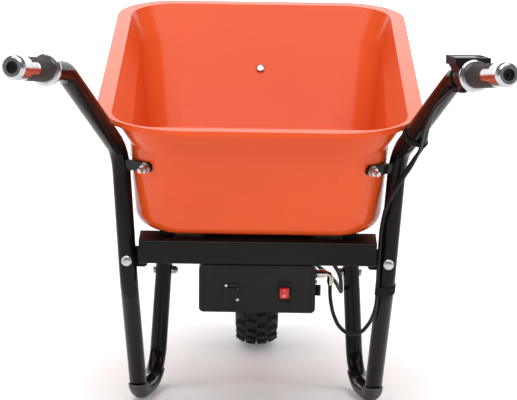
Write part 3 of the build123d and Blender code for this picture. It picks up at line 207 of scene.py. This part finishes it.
orange = finish(
    "orange_powder_coat", (0.70, 0.080, 0.014), (0.76, 0.094, 0.019), 3.0, (0.12, 0.22), bump=0.05, shine=0.28
)
dress(orange, "tray")

# ---- Frame
# Welded steel tube: crossbeam, hairpin legs, handles, lower rails, braces, struts and tray rails,
# all powder coated in gloss black. The foot shoes are half-round steel, scuffed on the ground.
black = finish(
    "black_powder_coat", (0.004, 0.0036, 0.0034), (0.007, 0.006, 0.0056), 6.0, (0.12, 0.22), bump=0.06,
    shine=0.13,
)
dress(
    black, "crossbeam", "leg_left", "leg_right", "handle_left", "handle_right", "rail_left", "rail_right",
    "mid_brace", "tray_brackets", "nose_crossbar", "nose_struts", "tray_rails",
)
shoe_paint = finish(
    "worn_shoe_steel", (0.014, 0.013, 0.013), (0.03, 0.028, 0.027), 25.0, (0.35, 0.6), bump=0.2,
    wear=(0.16, 0.15, 0.14),
)
dress(shoe_paint, "foot_shoe_left", "foot_shoe_right")

# ---- Bolts, nuts and washers
# Zinc-plated steel: dome bolts through the legs, sockets, tray corners and tray front, with the
# axle and its nuts, the hub's screws and bearings, the grip bars and the small pins and screws.
zinc = finish(
    "zinc_plate", (0.40, 0.40, 0.39), (0.56, 0.56, 0.55), 160.0, (0.2, 0.34), metal=1.0, grain=2500.0,
    bump=0.06,
)
dress(
    zinc, "frame_bolts", "frame_nuts", "tray_bolts", "tray_nuts", "port_screws", "flap_pin", "clamp_screw",
    "grip_bars", "throttle_spring", "axle", "axle_nuts", "hub_screws", "hub_bearings",
)

# ---- Grips
# Machined and polished aluminium flange and end barrel, with a ribbed rubber sleeve between them
# and a moulded plug in the end. The right one is the throttle and turns on its bar.
polished = finish(
    "polished_aluminium", (0.46, 0.46, 0.47), (0.58, 0.58, 0.60), 90.0, (0.16, 0.26), metal=1.0, grain=1800.0,
    bump=0.04,
)
dress(polished, "grip_left_core", "throttle_core", "motor_controller")
rubber = finish(
    "grip_rubber", (0.026, 0.019, 0.017), (0.040, 0.030, 0.027), 60.0, (0.5, 0.7), grain=2500.0, bump=0.25,
    shine=0.2,
)
RIB_WAVES = 150
RIB_DEPTH = 0.0008
ribs = rubber.node_tree.nodes.new("ShaderNodeTexWave")
ribs.bands_direction = "DIAGONAL"
ribs.inputs["Scale"].default_value = RIB_WAVES
rib_place = rubber.node_tree.nodes.new("ShaderNodeTexCoord")
rubber.node_tree.links.new(rib_place.outputs["Object"], ribs.inputs["Vector"])
rib_relief = rubber.node_tree.nodes.new("ShaderNodeBump")
rib_relief.inputs["Strength"].default_value = 0.9
rib_relief.inputs["Distance"].default_value = RIB_DEPTH
rubber.node_tree.links.new(ribs.outputs["Fac"], rib_relief.inputs["Height"])
rubber_shader = rubber.node_tree.nodes["Principled BSDF"]
rubber.node_tree.links.new(rib_relief.outputs["Normal"], rubber_shader.inputs["Normal"])
dress(rubber, "grip_left_rubber", "throttle_rubber")
plastic = finish(
    "black_moulded_plastic", (0.006, 0.006, 0.0065), (0.010, 0.010, 0.0105), 40.0, (0.35, 0.5), grain=2200.0,
    bump=0.2, shine=0.16,
)
dress(
    plastic, "grip_left_plug", "throttle_plug", "throttle_housing", "display_button", "charge_port",
    "charge_flap", "switch_body",
)

# ---- Display and throttle magnet
# A smoked display window in the pod on the right handle. The throttle's magnet and the hub's ring
# of magnets share one grey sintered finish.
lens = finish("display_glass", (0.01, 0.012, 0.014), (0.014, 0.017, 0.02), 50.0, (0.2, 0.3), shine=0.15)
dress(lens, "display_lens")
magnet = finish("magnet_grey", (0.2, 0.2, 0.21), (0.28, 0.28, 0.29), 120.0, (0.35, 0.5), metal=0.8)
dress(magnet, "throttle_magnet", "magnet_ring")

# ---- Battery box
# A folded steel box with a rear cover, powder coated in satin black, hung under the crossbeam.
# The battery pack inside it is wrapped in blue film.
box_paint = finish(
    "box_powder_coat", (0.006, 0.0055, 0.005), (0.010, 0.009, 0.0085), 12.0, (0.3, 0.42), grain=1500.0,
    bump=0.2, shine=0.16,
)
dress(box_paint, "box_shell", "box_cover")
wrap = finish("battery_wrap", (0.03, 0.08, 0.25), (0.04, 0.10, 0.30), 20.0, (0.3, 0.45), bump=0.1)
dress(wrap, "battery_pack")

# ---- Rocker switch
# A red moulded rocker with white on and off marks, under a clear moulded boot that keeps water out.
# The marks ride on the rocker.
red = finish("rocker_red", (0.62, 0.012, 0.008), (0.75, 0.02, 0.012), 80.0, (0.15, 0.25))
dress(red, "switch_rocker")
mark_paint = finish("mark_white", (0.75, 0.75, 0.75), (0.85, 0.85, 0.85), 200.0, (0.4, 0.5))
DECK_TILT = radians(14)
MARK_OUT = 0.0001
MARK_STAND_OFF = 0.05
MARK_FROM_MIDDLE = 0.0052
BAR_MARK = (0.0008, 0.004, 0.0003)
HOOP_MARK_R = 0.0017
HOOP_MARK_WIRE_R = 0.0004


def on_rocker(down):
    """The place and turn of a mark on the rocker, down from its middle, found on the moulding's skin."""
    along = Vector((0, cos(DECK_TILT), sin(DECK_TILT)))
    up = Vector((0, -sin(DECK_TILT), cos(DECK_TILT)))
    middle = Vector((0.044, LEG_Y, 0.298)) + along * -0.025 + up * (-0.067 - down)
    _, spot, normal, _ = nodes["switch_rocker"].ray_cast(middle - along * MARK_STAND_OFF, along)
    turn = Matrix((Vector((1, 0, 0)), normal.cross(Vector((1, 0, 0))), normal)).transposed().to_4x4()
    return Matrix.Translation(spot + normal * MARK_OUT) @ turn


marks = bmesh.new()
bar = bmesh.ops.create_cube(marks, size=1)["verts"]
bmesh.ops.transform(marks, matrix=on_rocker(-MARK_FROM_MIDDLE) @ Matrix.Diagonal((*BAR_MARK, 1)), verts=bar)
hoop = bmesh.ops.create_circle(marks, segments=8, radius=HOOP_MARK_WIRE_R)["verts"]
bmesh.ops.transform(
    marks, matrix=Matrix.Translation((HOOP_MARK_R, 0, 0)) @ Matrix.Rotation(pi / 2, 4, "X"), verts=hoop
)
hoop_edges = list({edge for vert in hoop for edge in vert.link_edges})
bmesh.ops.spin(
    marks, geom=hoop + hoop_edges, cent=(0, 0, 0), axis=(0, 0, 1), angle=tau, steps=28, use_merge=True
)
hoop_all = [vert for vert in marks.verts if vert not in bar]
bmesh.ops.transform(marks, matrix=on_rocker(MARK_FROM_MIDDLE), verts=hoop_all)
piece("rocker_marks", marks, mark_paint, "rocker")
clear = finish("clear_boot", (0.9, 0.9, 0.9), (0.95, 0.95, 0.95), 60.0, (0.03, 0.08))
clear.node_tree.nodes["Principled BSDF"].inputs["Transmission Weight"].default_value = 1.0
clear.node_tree.nodes["Principled BSDF"].inputs["IOR"].default_value = 1.06
dress(clear, "switch_boot")

# ---- Side socket, plug and dust cap
# A nickel-plated screw socket on the box's side with a right-angle plug in it, and its moulded
# rubber cap. The tray's pads, the valve stem and both cables share the cap's black rubber.
nickel = finish(
    "nickel_plate", (0.46, 0.41, 0.34), (0.58, 0.53, 0.46), 200.0, (0.14, 0.24), metal=1.0, grain=2500.0,
    bump=0.03,
)
dress(nickel, "side_socket", "elbow_plug")
soft_black = finish(
    "black_rubber", (0.006, 0.006, 0.006), (0.011, 0.011, 0.011), 70.0, (0.4, 0.55), grain=2000.0, bump=0.2,
    shine=0.2,
)
dress(soft_black, "dust_cap", "tray_pads", "valve_stem", "throttle_cable", "motor_cable")

# ---- Display cable
# A thin PVC-jacketed cable beside the throttle cable, from under the display pod down the right
# handle to the top of the leg tube. It passes outside the upper strap.
DISPLAY_CABLE_R = 0.0026
DISPLAY_CABLE = [
    (202.0, -19.5, 355), (209.5, -24.5, 379), (223.5, -32.0, 408), (241.0, -47.0, 438), (250.5, -72.0, 464),
    (252.5, -106.0, 482), (251.5, -146.0, 501), (254.0, -186.0, 522), (260.5, -222.0, 543),
    (276.0, -268.0, 567), (283.0, -296.0, 577),
]


def hose(mesh, points, radius, sides=12, steps=8):
    """A round cable swept along a smooth line through the points, closed at both ends."""
    line = []
    for i in range(len(points) - 1):
        a, b, c, d = (points[max(0, min(len(points) - 1, i + j))] for j in (-1, 0, 1, 2))
        for k in range(steps + (i == len(points) - 2)):
            t = k / steps
            square = (a * 2 - b * 5 + c * 4 - d) * t * t
            cube = (b * 3 - a - c * 3 + d) * t**3
            line.append((b * 2 + (c - a) * t + square + cube) / 2)
    way = (line[1] - line[0]).normalized()
    turn = way.to_track_quat("Z", "Y")
    ends = bmesh.ops.create_circle(mesh, segments=sides, radius=radius, cap_ends=True)["verts"]
    bmesh.ops.transform(mesh, matrix=Matrix.Translation(line[0]) @ turn.to_matrix().to_4x4(), verts=ends)
    face = ends[0].link_faces[0]
    for i in range(1, len(line)):
        extruded = bmesh.ops.extrude_face_region(mesh, geom=[face])["geom"]
        verts = [item for item in extruded if isinstance(item, bmesh.types.BMVert)]
        face = next(item for item in extruded if isinstance(item, bmesh.types.BMFace))
        ahead = (line[min(i + 1, len(line) - 1)] - line[i - 1]).normalized()
        swing = way.rotation_difference(ahead).to_matrix().to_4x4()
        bmesh.ops.transform(
            mesh,
            matrix=Matrix.Translation(line[i]) @ swing @ Matrix.Translation(-line[i - 1]),
            verts=verts,
        )
        way = ahead


strand = bmesh.new()
hose(strand, [Vector((x, y + 1000 * LEG_Y, z)) / 1000 for x, y, z in DISPLAY_CABLE], DISPLAY_CABLE_R)
piece("display_cable", strand, soft_black, "frame")

# ---- Straps
# Black hook-and-loop straps of woven cloth and a tie, wrapped round the right leg and handle and
# the throttle cable beside them.
strap_cloth = finish(
    "strap_cloth", (0.005, 0.005, 0.005), (0.012, 0.012, 0.012), 300.0, (0.8, 0.95), grain=3500.0, bump=0.8,
    shine=0.15,
)
dress(strap_cloth, "cable_straps")

# ---- Tyre
# Moulded rubber tyre: a carcass with rounded shoulders, two staggered rows of centre blocks and a
# row of slanted shoulder blocks on each side.
WHEEL = Vector((0, 0.502, 0.190))
BLOCKS = 32
BEVEL = 0.0009
SHOULDER_LAG = 0.42  # of the spacing between blocks
# Size (across, along, deep), then distance out from the middle, distance from the axle, lean and turn
CENTRE_BLOCK = ((0.0190, 0.0165, 0.0080), 0.0115, 0.1847, radians(7), 0.30)
SHOULDER_BLOCK = ((0.0200, 0.0150, 0.0085), 0.0320, 0.1775, radians(33), -0.18)
TYRE_SKIN = [
    (30.0, 104), (33.5, 112), (39.0, 124), (42.5, 140), (42.6, 153), (40.0, 164), (35.0, 172), (27.0, 178.5),
    (14.0, 182.5), (0.0, 183.6),
]
TYRE_LINING = [(0.0, 177.0), (20.0, 174.0), (33.0, 161.0), (36.5, 145.0), (33.0, 124.0), (25.0, 106.0)]


def block(mesh, kind, side, angle):
    """One tread block: a tapered, bevelled lug on one side, at an angle round the wheel."""
    size, out, radius, lean, yaw = kind
    made = bmesh.ops.create_cube(mesh, size=1)["verts"]
    for vert in made:
        if vert.co.z > 0:
            vert.co.x *= 0.84
            vert.co.y *= 0.8
    edges = list({edge for vert in made for edge in vert.link_edges})
    bmesh.ops.transform(mesh, matrix=Matrix.Diagonal((*size, 1)), verts=made)
    cut = bmesh.ops.bevel(
        mesh, geom=edges, offset=BEVEL, segments=1, affect="EDGES", profile=0.5, material=-1
    )
    verts = list({vert for face in cut["faces"] for vert in face.verts})
    bmesh.ops.transform(
        mesh,
        matrix=Matrix.Translation(WHEEL)
        @ Matrix.Rotation(angle, 4, "X")
        @ Matrix.Translation((side * out, 0, radius))
        @ Matrix.Rotation(side * lean, 4, "Y")
        @ Matrix.Rotation(side * yaw, 4, "Z"),
        verts=verts,
    )


tread = bmesh.new()
outline = [(half, r) for half, r in TYRE_SKIN] + [(-half, r) for half, r in reversed(TYRE_SKIN[:-1])]
lining = [(-half, r) for half, r in reversed(TYRE_LINING[1:])] + [(half, r) for half, r in TYRE_LINING]
ring_verts = [tread.verts.new(WHEEL + Vector((half, 0, r)) / 1000) for half, r in outline + lining]
ring_edges = [tread.edges.new((ring_verts[i - 1], ring_verts[i])) for i in range(len(ring_verts))]
bmesh.ops.spin(
    tread, geom=ring_verts + ring_edges, cent=WHEEL, axis=(1, 0, 0), angle=tau, steps=96, use_merge=True
)
for count in range(BLOCKS):
    for side in (-1, 1):
        spot = tau * (count + 0.25 * side) / BLOCKS
        block(tread, CENTRE_BLOCK, side, spot)
        block(tread, SHOULDER_BLOCK, side, spot + tau * SHOULDER_LAG / BLOCKS)
tyre_rubber = finish(
    "tyre_rubber", (0.006, 0.006, 0.0065), (0.014, 0.014, 0.015), 40.0, (0.55, 0.75), grain=1500.0, bump=0.3,
    shine=0.3,
)
piece("tyre_lugged", tread, tyre_rubber, "wheel", hides=("tyre",))

# ---- Wheel rim and hub motor
# Pressed steel rim halves and hub covers in black, with the motor's stator inside.
rim_paint = finish(
    "rim_paint", (0.014, 0.014, 0.014), (0.022, 0.022, 0.022), 30.0, (0.25, 0.4), grain=1500.0, bump=0.15
)
dress(rim_paint, "wheel_rim", "hub_covers")
copper = finish("copper_and_steel", (0.25, 0.12, 0.05), (0.5, 0.25, 0.1), 300.0, (0.3, 0.5), metal=0.9)
dress(copper, "stator")
